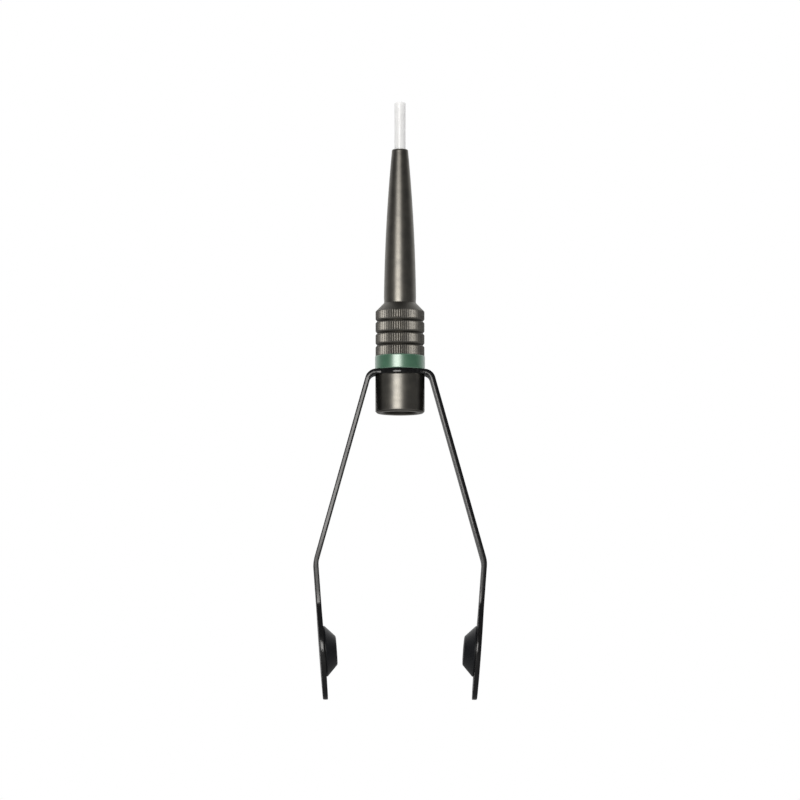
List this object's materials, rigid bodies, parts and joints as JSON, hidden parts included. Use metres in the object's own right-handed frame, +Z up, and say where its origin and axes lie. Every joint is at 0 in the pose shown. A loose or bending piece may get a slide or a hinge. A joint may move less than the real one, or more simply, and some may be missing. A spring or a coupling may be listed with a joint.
{
  "type": "fly tying bobbin holder",
  "caption": "Sprung bobbin holder for fly tying: a tapered barrel with a knurled grip and a ceramic thread tube, on a spring strip frame whose cone feet hold a thread spool.",
  "frame": {"origin": "midway between the arm tips, at the height of their lowest point: the bottom centre of the box round the whole part", "axes": "+Z runs up the barrel from the arm tips to the thread tube, +X runs from the left arm to the right arm, +Y points away from the picture's camera"},
  "size_m": [0.0318, 0.0102, 0.1106],
  "materials": {
    "ceramic": "smooth white fired ceramic",
    "gunmetal": "turned and anodised, dark gunmetal, satin",
    "green_anodised": "bright green anodised, glossy, bare",
    "black_steel": "black coated spring steel strip, satin",
    "foot_plastic": "turned black acetal, satin",
    "rivet_steel": "dark oxide steel"
  },
  "bodies": {
    "head": {"barrel": "gunmetal", "ceramic_tube": "ceramic", "colour_ring": "green_anodised", "spring_hub": "black_steel", "clamp_sleeve": "gunmetal"},
    "arm_left": {"left_arm": "black_steel", "left_rivet": "rivet_steel"},
    "arm_right": {"right_arm": "black_steel", "right_rivet": "rivet_steel"},
    "foot_left": {"left_foot": "foot_plastic"},
    "foot_right": {"right_foot": "foot_plastic"}
  },
  "joints": [
    {"name": "left_arm_flex", "type": "hinge", "parent": "head", "child": "arm_left", "pos_m": [-0.0086, 0, 0.04988], "axis": [0, 1, 0], "range_deg": [-4, 8], "stiffness_Nm_per_rad": 0.5},
    {"name": "right_arm_flex", "type": "hinge", "parent": "head", "child": "arm_right", "pos_m": [0.0086, 0, 0.04988], "axis": [0, -1, 0], "range_deg": [-4, 8], "stiffness_Nm_per_rad": 0.5},
    {"name": "left_foot_spin", "type": "hinge", "parent": "arm_left", "child": "foot_left", "pos_m": [-0.0143, 0, 0.00891], "axis": [0.9973, 0, 0.0731], "continuous": true},
    {"name": "right_foot_spin", "type": "hinge", "parent": "arm_right", "child": "foot_right", "pos_m": [0.0143, 0, 0.00891], "axis": [-0.9973, 0, 0.0731], "continuous": true}
  ]
}
